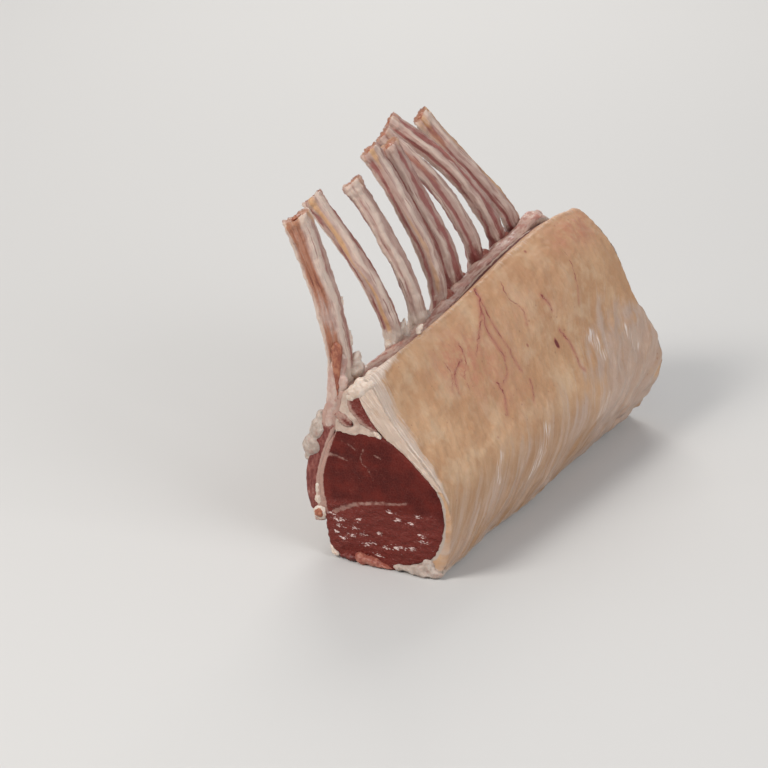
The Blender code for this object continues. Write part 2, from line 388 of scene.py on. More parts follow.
# Colours, as linear red, green and blue.
DARK_LEAN = (0.072, 0.0075, 0.0055)
LEAN = (0.125, 0.0145, 0.0095)
WET_LEAN = (0.170, 0.028, 0.021)
PALE_LEAN = (0.20, 0.047, 0.036)
# The next two colours are painted highlights on wet meat: pale flecks and bright glints.
GLINT_RED = (0.34, 0.125, 0.10)
GLINT_WHITE = (0.75, 0.58, 0.54)
FASCIA = (0.44, 0.27, 0.22)
TENDON = (0.42, 0.25, 0.205)
WHITE_FAT = (0.60, 0.47, 0.385)
BRIGHT_FAT = (0.76, 0.64, 0.55)
PINK_FAT = (0.47, 0.30, 0.245)
GREY_FAT = (0.46, 0.385, 0.33)
TAN_FAT = (0.56, 0.335, 0.19)
DEEP_TAN = (0.48, 0.265, 0.14)
PALE_TAN = (0.62, 0.43, 0.275)
ROSY_FAT = (0.47, 0.19, 0.115)
BONE = (0.50, 0.335, 0.280)
BONE_PALE = (0.65, 0.505, 0.42)
# The bone's colour on its shaded side, as painted shade.
BONE_IN_SHADE = (0.35, 0.195, 0.160)
BONE_RED = (0.29, 0.078, 0.066)
GOLD = (0.60, 0.34, 0.16)
CORE = (0.38, 0.145, 0.075)
TAN_SHADE = (0.42, 0.235, 0.13)
# Painted shade on the low part of the cap, in two tones.
SHADED_TAN = (0.37, 0.205, 0.108)
SHADED_TAN_PALE = (0.44, 0.262, 0.148)
SILVER = (0.43, 0.31, 0.25)
SILVER_LIT = (0.49, 0.37, 0.31)
THREAD = (0.68, 0.55, 0.46)
VEIN_HALO = (0.43, 0.175, 0.115)
SPECK = (0.30, 0.12, 0.075)
STRAND = (0.55, 0.37, 0.26)
# The colour of painted sheen on the silverskin.
SHEEN_WHITE = (0.76, 0.66, 0.60)
STAIN = (0.36, 0.10, 0.075)
BLOOD = (0.14, 0.018, 0.020)
WALL_DARK = (0.075, 0.010, 0.008)
WALL_LEAN = (0.19, 0.040, 0.031)
FILM = (0.45, 0.29, 0.24)
CRUMB_DARK = (0.155, 0.030, 0.024)
CRUMB = (0.26, 0.080, 0.064)
CREST = (0.48, 0.225, 0.175)
CREST_PALE = (0.68, 0.475, 0.385)
TORN_RED = (0.21, 0.036, 0.029)
BONE_THREAD = (0.22, 0.045, 0.040)
CORE_DARK = (0.16, 0.040, 0.028)
FOOT_RED = (0.17, 0.032, 0.026)
TISSUE = (0.68, 0.56, 0.47)
SAWN_END = (0.43, 0.20, 0.125)


def lean_look():
    """Cut lean meat: bundles of fibres, white marbling and, low on the face, a wet torn grain with painted
    highlights.
    """
    look = Look("lean_meat", 0.4, shine=0.16, glow=0.1, depth=1.2, radius=(1.0, 0.3, 0.2))
    grain = look.cells(1.15, look.place((1, 1.6, 1)), "DISTANCE_TO_EDGE")
    blotch = look.noise(9.0, detail=3.0)
    fine = look.noise(0.7, detail=3.0, rough=0.6)
    wet = look.stored("wet")
    shade = look.blend(DARK_LEAN, LEAN, blotch, 0.35, 0.68)
    shade = look.blend(shade, WET_LEAN, look.shaken(wet, blotch, 0.5), 0.15, 0.95, 0.85)
    shade = look.blend(shade, PALE_LEAN, grain, 0.14, 0.0, 0.22)
    # Painted highlights: pale flecks where the face is wet and torn stand in for its glints.
    glint_flecks = look.noise(1.1, look.place((1.9, 1, 0.62)), detail=4.0, rough=0.65)
    moist = look.rise(wet, 0.2, 0.8, 0.25)
    shade = look.mix(look.times(look.rise(glint_flecks, 0.58, 0.74, 0.0, 0.7), moist), shade, GLINT_RED)
    # Painted highlights as bright flecks, white marbling and a pale film lie over the meat.
    painted_glint = look.mask("painted_glint", look.noise(0.8, look.place((1.7, 1, 0.6)), detail=3.0), 2.6)
    shade = look.blend(shade, GLINT_WHITE, painted_glint, 0.62, 0.95)
    vein = look.mask("vein", look.noise(1.5, detail=4.0, rough=0.6), 1.9)
    broken = look.rise(look.noise(3.2), 0.32, 0.55, 0.20, 0.70)
    shade = look.mix(look.times(look.rise(vein, 0.50, -0.25), broken), shade, TENDON)
    shade = look.blend(shade, FASCIA, look.mask("pale", fine, 0.5), 0.35, 0.75)
    # Torn meat shines more than sliced meat.
    damp = look.rise(look.noise(1.3, look.place((2.0, 1, 0.8)), detail=3.0), 0.38, 0.62, 0.12, 0.42)
    dry = look.rise(look.noise(2.2, detail=3.0), 0.35, 0.7, 0.34, 0.5)
    gloss = look.node("ShaderNodeMix", {0: wet, 2: dry, 3: damp}).outputs[0]
    torn = look.noise(2.2, look.place((1.3, 1, 0.8)), detail=5.0, rough=0.62)
    bumps = [(look.times(torn, look.rise(wet, 0.0, 0.8, 0.18)), 1.1), (grain, 0.10), (fine, 0.12)]
    return look.done(shade, bumps, look.sum("SUBTRACT", gloss, look.rise(painted_glint, 0.6, 0.9, 0.0, 0.15)))


def fat_look():
    """The cap's dry outside: tan fat under thin silverskin that is streaked along the grain."""
    look = Look("fat_cap", 0.5, shine=0.35, glow=0.15, depth=2.0, radius=(1.0, 0.6, 0.35))
    flow = look.stored("flow", True)
    streak = look.streaks(flow, (4.8, 26, 20), detail=3.0, rough=0.55, warp=0.7)
    thread = look.streaks(flow, (1.1, 16, 15), detail=3.0, warp=0.9)
    patches = look.noise(24.0, flow, detail=3.0, rough=0.6, warp=0.4)
    mottle = look.noise(4.2, detail=5.0, rough=0.68)
    cloud = look.noise(12.0, detail=3.0, rough=0.6)
    silver = look.stored("silver")
    lined = look.rise(look.shaken(silver, cloud, 1.0), 0.1, 0.7, 0.25)
    shade = look.blend(DEEP_TAN, TAN_FAT, look.shaken(patches, mottle, 0.5), 0.36, 0.66)
    shade = look.blend(shade, PALE_TAN, look.shaken(cloud, mottle, 0.2), 0.46, 0.70, 0.62)
    # Light and dark streaks show most under silverskin. The low part of the cap, most at the front, is
    # darker as painted shade, and the rosy patches are darker.
    shade = look.mix(look.times(look.rise(streak, 0.48, 0.72, 0.0, 0.55), lined), shade, PALE_TAN)
    shade = look.mix(look.times(look.rise(streak, 0.46, 0.26, 0.0, 0.40), lined), shade, TAN_SHADE)
    painted_shade_tan = look.blend(SHADED_TAN, SHADED_TAN_PALE, streak, 0.34, 0.66)
    shade = look.blend(shade, painted_shade_tan, look.mask("deep", mottle, 0.5), 0.2, 1.0, 0.85)
    spread = look.rise(look.shaken(mottle, streak, 0.6), 0.36, 0.64, 0.2, 0.9)
    shade = look.mix(look.times(look.stored("rosy"), spread), shade, ROSY_FAT)
    # The silverskin itself, its threads, the rims of the vessels and small specks.
    veil = look.blend(SILVER, SILVER_LIT, streak, 0.34, 0.66)
    shade = look.blend(shade, veil, look.shaken(silver, streak, 1.5), 0.25, 1.05, 0.72)
    shown = look.rise(silver, 0.05, 0.7, 0.15)
    shade = look.mix(look.times(look.rise(thread, 0.58, 0.72, 0.0, 0.35), shown), shade, THREAD)
    shade = look.blend(shade, VEIN_HALO, look.mask("vein", mottle, 0.5), 0.25, 0.9, 0.75)
    speck = look.cells(5.5)
    shade = look.blend(shade, SPECK, look.shaken(speck, mottle, 0.25), 0.10, 0.04, 0.5)
    # White fat with pink strands along the front edge, and grey fat where it meets the eye.
    edge_flow = look.stored("edge_flow", True)
    edge_streak = look.streaks(edge_flow, (1.3, 13, 1), detail=4.0, rough=0.62)
    white = look.shaken(look.mask("white", edge_streak, 2.0), mottle, 0.6)
    shade = look.blend(shade, WHITE_FAT, white, 0.30, 0.95, 0.92)
    strand = look.streaks(edge_flow, (0.9, 9, 1), detail=3.0, warp=0.5)
    strands = look.times(strand, look.rise(look.stored("white"), 0.1, 0.6))
    shade = look.blend(shade, STRAND, strands, 0.50, 0.66, 0.6)
    shade = look.blend(shade, BRIGHT_FAT, look.mask("white", strand, 2.8), 0.95, 1.6, 0.9)
    shade = look.blend(shade, GREY_FAT, look.mask("grey", mottle, 0.4), 0.35, 0.65, 0.9)
    # Painted sheen as bundles of bright streaks, and the blood spots with their stains.
    brush = look.streaks(flow, (0.9, 11, 15), detail=2.0, warp=0.3)
    painted_sheen = look.rise(look.stored("painted_sheen"), 0.1, 0.8, 0.0, 0.9)
    shade = look.mix(look.times(look.rise(brush, 0.48, 0.66), painted_sheen), shade, SHEEN_WHITE)
    blood = look.mask("blood", mottle, 0.5)
    shade = look.blend(shade, STAIN, blood, 0.22, 0.40, 0.6)
    shade = look.blend(shade, BLOOD, blood, 0.38, 0.62, 0.92)
    pores = look.noise(0.8, detail=3.0)
    bumps = [(streak, 0.25), (thread, 0.10), (mottle, 0.35), (strands, 0.5), (pores, 0.06)]
    return look.done(shade, bumps, look.rise(look.shaken(silver, streak, 0.8), 0.0, 1.0, 0.52, 0.30))


def white_look(name, main, other, tint, size=3.0):
    """Wet white or grey fat, with pink or yellow in its folds."""
    look = Look(name, 0.4, shine=0.42, glow=0.2, depth=2.0, radius=(1.0, 0.6, 0.4))
    lumps = look.noise(size, detail=4.0, rough=0.62)
    shade = look.blend(other, main, lumps, 0.36, 0.64)
    folds = look.noise(size * 1.7, detail=3.0, warp=0.5)
    shade = look.blend(shade, tint, folds, 0.54, 0.74, 0.6)
    gloss = look.rise(folds, 0.3, 0.7, 0.28, 0.5)
    return look.done(shade, [(lumps, 0.5), (look.noise(0.7, detail=3.0), 0.12)], gloss)


def meat_bit_look(name, main, other, size=2.0):
    """Wet meat or marrow in two colours."""
    look = Look(name, 0.34, shine=0.35, glow=0.12, depth=1.2, radius=(1.0, 0.4, 0.3))
    patch = look.noise(size, detail=4.0, rough=0.62)
    shade = look.blend(main, other, patch, 0.38, 0.64)
    return look.done(shade, [(patch, 0.35), (look.noise(0.6, detail=2.0), 0.08)])


def wall_look():
    """Meat between the ribs under a thin shining skin, pale near the bones, and its cut ends."""
    look = Look("rib_wall", 0.36, shine=0.32, glow=0.12, depth=1.5, radius=(1.0, 0.35, 0.25))
    fibres = look.noise(1.0, look.place((6.5, 0.9, 8.0), (0.6, 0, 0)), detail=4.0, rough=0.6)
    blotch = look.noise(7.0, detail=4.0, rough=0.6)
    crumb = look.noise(1.9, look.place((0.7, 1, 1.7)), detail=4.0, rough=0.6)
    cut = look.stored("cut")
    shade = look.blend(WALL_DARK, WALL_LEAN, look.shaken(fibres, blotch, 0.8), 0.34, 0.68)
    shade = look.blend(shade, FILM, look.mask("film", blotch, 0.8), 0.35, 0.95, 0.85)
    # The cut ends are crumbly, with fat in them.
    inside = look.blend(CRUMB_DARK, CRUMB, crumb, 0.36, 0.62)
    shade = look.mix(cut, shade, look.blend(inside, PINK_FAT, crumb, 0.62, 0.72, 0.7))
    fatty = look.mask("fatty", look.noise(1.8, detail=4.0, rough=0.6), 0.9)
    shade = look.blend(shade, PINK_FAT, fatty, 0.38, 0.72, 0.95)
    shade = look.blend(shade, WHITE_FAT, look.mask("white", blotch, 0.5), 0.35, 0.75)
    # The wall's top edge is pale, with a dark line of torn meat.
    along = look.noise(1.0, look.place((1.4, 8.0, 1.4)), detail=3.0, warp=0.4)
    crest = look.mask("crest", along, 0.7)
    shade = look.blend(shade, look.blend(CREST, CREST_PALE, along, 0.36, 0.62), crest, 0.25, 0.60, 0.95)
    shade = look.blend(shade, TORN_RED, look.mask("dark", along, 0.6), 0.3, 0.8, 0.85)
    smooth = look.sum("MAXIMUM", cut, look.stored("smooth"))
    ribbed = look.times(fibres, look.rise(smooth, 0.0, 1.0, 1.0, 0.0))
    crumbs = look.times(crumb, look.rise(look.stored("smooth"), 0.0, 1.0, 1.0, 0.3))
    bumps = [(ribbed, 0.4), (blotch, 0.4), (crumbs, 0.3)]
    return look.done(shade, bumps, look.rise(look.noise(2.5), 0.35, 0.7, 0.26, 0.5))


def bone_look():
    """Scraped bone: pale ridges, red and yellow streaks along it, rough ends, and painted shade on its far
    side.
    """
    look = Look("rib_bone", 0.42, shine=0.38, glow=0.1, depth=1.5)
    grain = look.stored("grain", True)
    streak = look.streaks(grain, (1.1, 1.1, 14), detail=5.0, rough=0.64)
    wide = look.streaks(grain, (2.4, 2.4, 22), detail=3.0, warp=0.3)
    thread = look.streaks(grain, (0.8, 0.8, 19), detail=2.0, warp=0.5)
    crust = look.noise(1.5, detail=4.0, rough=0.65)
    # Painted shade: the bone is darker on its far side and in its grooves, and paler towards 150 degrees.
    shade = look.blend(BONE_IN_SHADE, BONE, look.mask("side", streak, 1.5), 0.2, 0.75)
    red = look.shaken(look.mask("red", streak, 1.3), wide, 0.8)
    shade = look.blend(shade, BONE_RED, red, 0.36, 0.85, 0.85)
    gold = look.shaken(look.mask("gold", wide, 1.0), streak, 0.9)
    shade = look.blend(shade, GOLD, gold, 0.32, 0.95, 0.8)
    pale = look.shaken(look.mask("pale", streak, 1.3), wide, 0.7)
    shade = look.blend(shade, BONE_PALE, pale, 0.40, 0.85, 0.9)
    lined = look.rise(look.stored("red"), 0.0, 0.6, 0.15, 0.75)
    shade = look.mix(look.times(look.rise(thread, 0.61, 0.68), lined), shade, BONE_THREAD)
    # The open core of the front rib, the red feet, shreds of tissue and the sawn ends.
    core = look.mask("core", streak, 1.5)
    shade = look.blend(shade, CORE, core, 0.30, 0.90, 0.92)
    shade = look.blend(shade, CORE_DARK, core, 0.85, 1.15, 0.8)
    shade = look.blend(shade, FOOT_RED, look.mask("foot", crust, 0.8), 0.35, 0.85, 0.85)
    shade = look.blend(shade, TISSUE, look.mask("white", crust, 0.9), 0.4, 0.8, 0.9)
    shade = look.blend(shade, SAWN_END, look.mask("ends", crust, 0.9), 0.4, 0.8, 0.9)
    bumps = [(streak, 0.65), (wide, 0.4), (crust, 0.3), (look.noise(0.6, detail=2.0), 0.08)]
    return look.done(shade, bumps, look.rise(streak, 0.3, 0.7, 0.34, 0.52))


# ---- the eye muscle ----

# Lines of white marbling on the front face, as half their width at either end, and (x, z) points.
MARBLING = (
    (0.85, 0.25, [(-12.5, 21.3), (-9.1, 23.4), (-2.9, 26.5), (1.7, 27.9), (7.8, 29.6), (17.0, 30.6),
                  (21.0, 31.8)]),
    (0.70, 0.00, [(-17.5, 45.6), (-14.0, 46.8), (-10.8, 46.6), (-6.1, 45.3)]),
    (0.00, 0.00, [(-9.5, 53.6), (-5.5, 52.8), (-2.8, 51.3)]),
    (0.05, 0.00, [(1.2, 52.0), (-0.1, 48.5), (0.6, 46.0), (3.6, 43.5), (6.0, 39.5)]),
    (0.00, 0.00, [(6.5, 50.5), (9.0, 49.5)]),
)
# Painted highlights: bright flecks painted on the lower half of the front face, as (x, z).
GLINT_SPOTS = (
    (-11.9, 18.2), (-8.6, 18.4), (-10.5, 15.2), (-8.2, 10.2), (1.2, 13.6), (2.1, 9.2), (5.4, 10.4),
    (9.1, 15.8), (13.8, 26.8), (17.0, 23.8), (17.0, 11.1), (24.0, 12.1), (29.0, 16.0), (26.2, 27.2),
    (28.5, 18.6), (7.7, 5.4), (-14.2, 20.4), (-11.5, 12.3), (20.3, 11.8), (-0.6, 20.1), (23.5, 23.4),
    (12.0, 9.9), (-4.5, 12.2), (-2.5, 16.2),
)


def make_eye(look):
    """The eye muscle, with its marbled cut face."""
    piece, points, normals = fine_copy("eye_muscle_meat", "eye_muscle", 0.62, 0.3, squash=0.42)
    front, rear = cut_faces(points, normals)
    cut = front + rear
    x, z = points[:, 0], points[:, 2]
    low = step(z + 2.0 * noise(points, 9, 8), 31, 24)
    # The cut face bulges, and its lower half is torn rather than sliced.
    dome = 1 - np.clip(np.hypot((x - 12) / 33, (z - 30) / 33), 0, 1) ** 2
    bulge = 1.3 * dome + 0.5 * noise(points, 14, 1)
    torn = low * (0.45 * noise(points, (5.5, 1, 3.0), 2, 2) + 0.25 * noise(points, (2.4, 1, 1.8), 3))
    face = bulge + torn + 0.15 * noise(points, 2.6, 4, 2)
    vein = np.full(len(points), 3.0)
    flat = points[:, [0, 2]]
    for start, end, line in MARBLING:
        away, along = line_distance(flat, line)
        width = start + (end - start) * along
        vein = np.minimum(vein, away - width)
        face -= 0.35 * bell(away, 0, width + 0.7) * front
    vein += 3 * (1 - front) * step(np.abs(noise(points, 11, 9, 2)), 0.02, 0.08)
    side = 0.35 * noise(points, 9, 5, 2) + 0.2 * noise(points, 2.5, 6)
    height = face * cut + side * (1 - cut) * step(z, 0.0, 4.0)
    move_to(piece, points + normals * height[:, None])
    store(piece, "vein", np.clip(vein, -1.5, 3))
    store_share(piece, "wet", low * front + 0.35 * rear + 0.2 * (1 - cut))
    # Painted highlights: bright flecks at the listed spots, and a faint pale wash low on the face.
    painted_glint = np.max([blob(flat, fleck, (2.4, 0.9)) for fleck in GLINT_SPOTS], axis=0)
    store(piece, "painted_glint", (0.78 * painted_glint + 0.13 * low) * front)
    # A film of pale tissue covers the flank under the ribs' heads and the underside.
    pale = (1 - cut) * (0.42 + 0.6 * noise(points, 12, 7, 3))
    beside = gaps(points, tree_of(*cad_shape("rib_wall")), (front > 0.05) & (x < -8))
    pale += front * step(beside, 2.4, 1.0) * np.interp(z, (18, 24, 45, 57), (0.3, 0.8, 0.75, 0.6))
    store_share(piece, "pale", pale)
    return finish_piece(piece, look, "lean", "eye_muscle")


# ---- the fat cap ----

def top_line(node):
    """How high a node stands along the rack, as places along Y and heights."""
    points = cad_shape(node)[0]
    places = np.linspace(FRONT, REAR, 34)
    heights = [points[np.abs(points[:, 1] - place) < 10, 2].max() for place in places]
    return places, np.convolve(np.pad(heights, 1, "edge"), (0.25, 0.5, 0.25), "valid")


# Dark blood spots and rosy patches on the cap: where, their size, and their strength.
SPOTS = (
    ((32.9, 25.9, 60.6), (1.7, 1.3, 3.6), 1.0), ((10.4, 38.9, 95.2), (1.2, 1.2, 1.2), 0.55),
    ((27.8, 5.1, 66.1), (1.1, 1.3, 1.1), 0.5), ((35.1, -33.7, 49.3), (1.1, 0.9, 1.6), 0.5),
    ((37.8, -47.3, 44.5), (1.0, 0.8, 1.4), 0.5), ((5.9, -2.4, 91.8), (1.3, 1.0, 1.8), 0.6),
)
ROSY = (
    ((16, -42, 73), (20, 18, 13), 0.8), ((17, 78, 94), (12, 24, 7), 1.0),
    ((26, -22, 62), (30, 22, 24), 0.45), ((20, 20, 80), (22, 30, 16), 0.35),
)
# Painted sheen: bundles of bright thin streaks painted on the silverskin: how wide they spread, and points
# along them.
SHEEN_STREAKS = (
    (2.6, [(44.8, -11.3, 36.6), (45.9, -14.4, 33.4), (46.3, -18.4, 29.4), (46.1, -23.1, 26.5),
           (45.6, -29.0, 21.6)]),
    (2.4, [(50.5, 44.9, 32.1), (50.4, 38.8, 28.6), (49.7, 33.7, 25.1)]),
    (2.0, [(41.0, -51.1, 38.8), (42.0, -54.2, 34.4), (43.6, -56.3, 29.9)]),
    (3.2, [(43.6, 77.1, 50.7), (46.3, 78.2, 47.4), (48.2, 79.5, 43.4)]),
    (3.4, [(37.8, 50.3, 56.7), (40.3, 51.8, 53.4), (43.2, 52.6, 47.8)]),
)
# Vessels under the skin of the cap: their width, and points near them.
VESSELS = (
    (0.75, [(5.5, -2.2, 92), (9.2, -4.8, 88.5), (11.6, -8.9, 85.7), (14.3, -11.5, 82),
            (17.6, -14.2, 77), (24.9, -14.3, 67)]),
    (0.55, [(9.2, -4.8, 88.5), (15.6, -8.1, 81), (20.6, -8.5, 74.3), (26.4, -8.4, 65.6), (30, -8, 59)]),
    (0.50, [(12.6, -10.9, 84.3), (15.6, -18, 79.1), (17.5, -25, 75), (19, -29.2, 72.2)]),
    (0.45, [(24.9, -14.3, 67), (28, -18, 61), (29, -24, 59)]),
    (0.55, [(31.5, 31.1, 64.7), (35.9, 34.5, 57.2), (38.8, 33.8, 52.7), (41.1, 32, 49), (42.6, 33.2, 47)]),
    (0.60, [(22.6, 28.7, 80.5), (25.5, 30.9, 76.5), (27, 31, 73)]),
    (0.50, [(27.6, -27.1, 60.2), (30.9, -27, 55.2), (33.2, -29.7, 52), (35.5, -32.5, 48.9)]),
    (0.45, [(33.4, -5.7, 54.8), (36, -9.2, 50.9), (38, -12, 47)]),
    (0.55, [(17, -38.7, 72.9), (17.5, -45.6, 71), (19.1, -49.7, 68.2), (22, -52, 63)]),
    (0.40, [(14, -48.9, 75), (18, -50, 69), (20, -55, 65)]),
    (0.40, [(20, 60, 88), (27, 57, 79), (31, 52, 70)]),
    (0.40, [(12, 12, 92), (17, 10, 86), (22, 14, 79), (25, 12, 73)]),
    (0.45, [(13, -35, 78), (17, -37, 71), (19, -42, 68), (23, -45, 62)]),
)


def make_fat_cap(look):
    """The cap's folded skin and its cut faces, with where its colours go."""
    piece, points, normals = fine_copy("fat_cap_skin", "fat_cap", 0.86, 0.0)
    front, rear = cut_faces(points, normals)
    cut = front + rear
    y, z = points[:, 1], points[:, 2]
    depth = np.clip(np.interp(y, *top_line("fat_cap")) - z, 0, None)
    # The grain runs down the sloping skin and curves forwards: places across it and along it.
    down = np.interp(depth, (0, 43, 84, 100), (0, 58, 99, 115))
    flow = np.stack([y + 0.0052 * down**2, down, points[:, 0] * 0.3], 1)
    # Folds and streaks are on the outer skin only.
    skin = (1 - cut) * step(normals[:, 0] + normals[:, 2] * 0.6, -0.1, 0.35)
    low = step(z, 60, 30)
    folds = noise(points, 34, 11) + 0.5 * noise(points, 13, 12, 2)
    streaks = 0.35 * noise(flow, (7, 45, 1), 13, 2)
    streaks += 0.2 * noise(flow, (3.2, 26, 1), 14, 2) * (0.15 + 0.3 * low)
    rear_folds = step(y, 30, 70) * step(down, 35, 60) * 1.3 * noise(flow, (7, 45, 1), 15)
    low_folds = low * step(y, 30, -10) * 0.5 * noise(flow, (5, 30, 1), 19)
    height = (folds + streaks + rear_folds + low_folds + 0.12 * noise(points, 1.8, 16, 2)) * skin
    height += cut * (0.35 * noise(points, 3, 17, 2) - 0.25)
    move_to(piece, points + normals * height[:, None])
    store(piece, "flow", flow)
    # The streaks at the front edge run along it, on the skin and on the cut face.
    cut_flow = np.stack([-0.707 * (points[:, 0] + z), 0.707 * (points[:, 0] - z)], 1)
    edge_flow = np.where(cut[:, None] > 0.5, cut_flow, np.stack([y - FRONT, depth], 1))
    store(piece, "edge_flow", np.pad(edge_flow, ((0, 0), (0, 1))))
    # White fat shows along the front edge, widest at the top, and in a torn rim on top.
    band = np.interp(z, (0, 10, 30, 42, 60, 85), (4.0, 0.6, 1.2, 6.0, 12.0, 19.0))
    edge = step(y - FRONT, band, 0.0) * (1 - cut)
    rim = step(depth, 4.0, 1.2) * step(y, FRONT + 34, FRONT + 16) + 0.55 * step(depth, 1.8, 0.6)
    lip = step(z, 6.0, 2.0) * 0.9
    eye_gap = gaps(points, tree_of(*cad_shape("eye_muscle")), cut > 0.05)
    tan = front * step(z, 45, 34)
    white = 1.15 * edge + 0.8 * rim + lip + cut * np.where(tan > 0.5, 0.1, 1.0)
    store(piece, "white", np.clip(white, 0, 1.2))
    store_share(piece, "grey", cut * step(eye_gap, 2.8, 1.4) * step(z, 44, 36) + 0.7 * step(z, 7, 3))
    vein = np.zeros(len(points))
    for width, line in VESSELS:
        away = line_distance(points, smooth_path(line, 3 * len(line)))[0]
        vein = np.maximum(vein, (0.4 + 0.6 * width) * bell(away, 0, 1.3 + 1.2 * width))
    store(piece, "vein", vein * skin)
    silver = step(y, 15, 75) * step(down, 30, 62) + 0.75 * step(down, 50, 80)
    silver = silver * (0.8 + 0.5 * noise(flow, (10, 60, 1), 18)) - 0.3 * step(y, 80, 95)
    store_share(piece, "silver", silver)
    # Painted shade: the low part of the cap, most towards the front, is made darker.
    deep = np.clip(step(z, 56, 22) * step(y, 80, 0) + 0.5 * step(z, 40, 10), 0, 1)
    store(piece, "deep", deep * (1 - cut))
    for name, patches in (("blood", SPOTS), ("rosy", ROSY)):
        total = sum(blob(points, middle, size) * strength for middle, size, strength in patches)
        store_share(piece, name, total)
    # Painted sheen along the listed streaks.
    painted_sheen = sum(bell(line_distance(points, line)[0], 0, width) for width, line in SHEEN_STREAKS)
    store_share(piece, "painted_sheen", painted_sheen)
    return finish_piece(piece, look, "fat", "fat_cap")


def smooth_path(points, count):
    """Points evenly spread over a curve through the given ones."""
    points = np.asarray(points, float)
    line = [2 * points[0] - points[1], *points, 2 * points[-1] - points[-2]]
    dense = []
    for a, b, c, d in zip(line, line[1:], line[2:], line[3:]):
        for t in np.linspace(0, 1, 12, endpoint=False):
            dense.append(0.5 * (2 * b + (c - a) * t + (2 * a - 5 * b + 4 * c - d) * t**2
                                + (3 * b - a - 3 * c + d) * t**3))
    dense = np.array(dense + [points[-1]])
    far = np.concatenate([[0], np.cumsum(np.linalg.norm(np.diff(dense, axis=0), axis=1))])
    even = np.linspace(0, far[-1], count)
    return np.stack([np.interp(even, far, dense[:, i]) for i in range(3)], 1)


def tube(path, widths, normals, flat=0.6, sides=6):
    """Points and faces of a closed tube, flattened along the normals."""
    points, faces = [], []
    for i, (middle, width, normal) in enumerate(zip(path, widths, normals)):
        along = path[min(i + 1, len(path) - 1)] - path[max(i - 1, 0)]
        side = np.cross(along, normal)
        side /= max(np.linalg.norm(side), 1e-12)
        up = np.cross(side, along)
        up /= max(np.linalg.norm(up), 1e-12)
        for k in range(sides):
            angle = math.tau * k / sides
            points.append(middle + (side * math.cos(angle) + up * flat * math.sin(angle)) * width / 2)
    for i in range(len(path) - 1):
        for k in range(sides):
            a, b = i * sides + k, i * sides + (k + 1) % sides
            faces.append((a, b, b + sides, a + sides))
    last = (len(path) - 1) * sides
    faces.append(tuple(range(sides))[::-1])
    faces.append(tuple(range(last, last + sides)))
    return points, faces


def join_shapes(shapes):
    """Several (points, faces) as one."""
    points, faces = [], []
    for some, sides in shapes:
        faces += [tuple(i + len(points) for i in side) for side in sides]
        points += list(some)
    return points, faces


def make_vessels(cap, look):
    """Thin tubes half sunk in the cap's skin."""
    tree = tree_of(points_of(cap), [tuple(p.vertices) for p in cap.data.polygons])
    dice = np.random.default_rng(5)
    shapes = []
    for width, rough in VESSELS:
        path = smooth_path(rough, 4 + 7 * len(rough))
        path += dice.normal(scale=0.25, size=path.shape)
        laid, normals = [], []
        for point in path:
            spot, normal, _, _ = tree.find_nearest(Vector(point))
            laid.append(np.array(spot) - 0.05 * np.array(normal))
            normals.append(np.array(normal))
        share = np.linspace(0, 1, len(path))
        widths = 1.45 * width * (1.0 - 0.6 * share) * (0.8 + 0.35 * np.sin(share * 23 + width * 40))
        shapes.append(tube(np.array(laid), widths, normals))
    piece = add_object("fat_vessels", *join_shapes(shapes))
    finish_piece(piece, look, "fat")


# ---- lumps of fat and shreds of tissue ----

def ball(middle, radii, turn=(0, 0, 0)):
    """Points and faces of an oval body, turned by degrees about X, Y and Z."""
    mesh = bmesh.new()
    bmesh.ops.create_icosphere(mesh, subdivisions=3, radius=1)
    turned = np.eye(3)
    for axis, degrees in zip("XYZ", turn):
        turned = np.array(Matrix.Rotation(math.radians(degrees), 3, axis)) @ turned
    points = np.array([v.co[:] for v in mesh.verts]) * radii @ turned.T + middle
    faces = [tuple(v.index for v in face.verts) for face in mesh.faces]
    mesh.free()
    return points, faces


def chain(line, start, end, flat=1.0, thin=1.0):
    """Balls along a line, whose size runs from start to end, flatter along X and thinner along Y."""
    line = np.asarray(line, float)
    far = np.linalg.norm(np.diff(line, axis=0), axis=1).sum()
    count = max(3, int(far / (0.45 * min(start, end) + 0.25)))
    path = smooth_path(line, count)
    sizes = np.linspace(start, end, count)
    return [ball(point, (size * flat, size * thin, size)) for point, size in zip(path, sizes)]


def lump(name, look, slot, shapes, voxel=0.5, rough=0.3, size=2.5, seed=0):
    """An uneven piece out of shapes, which grow together where they overlap."""
    piece = remeshed(name, *join_shapes(shapes), voxel)
    points = smoothed(piece, points_of(piece), 6)
    move_to(piece, points)
    normals = normals_of(piece)
    height = rough * noise(points, size, seed, 2) + 0.4 * rough * noise(points, size / 3, seed + 1)
    move_to(piece, points + normals * height[:, None])
    finish_piece(piece, look, slot)


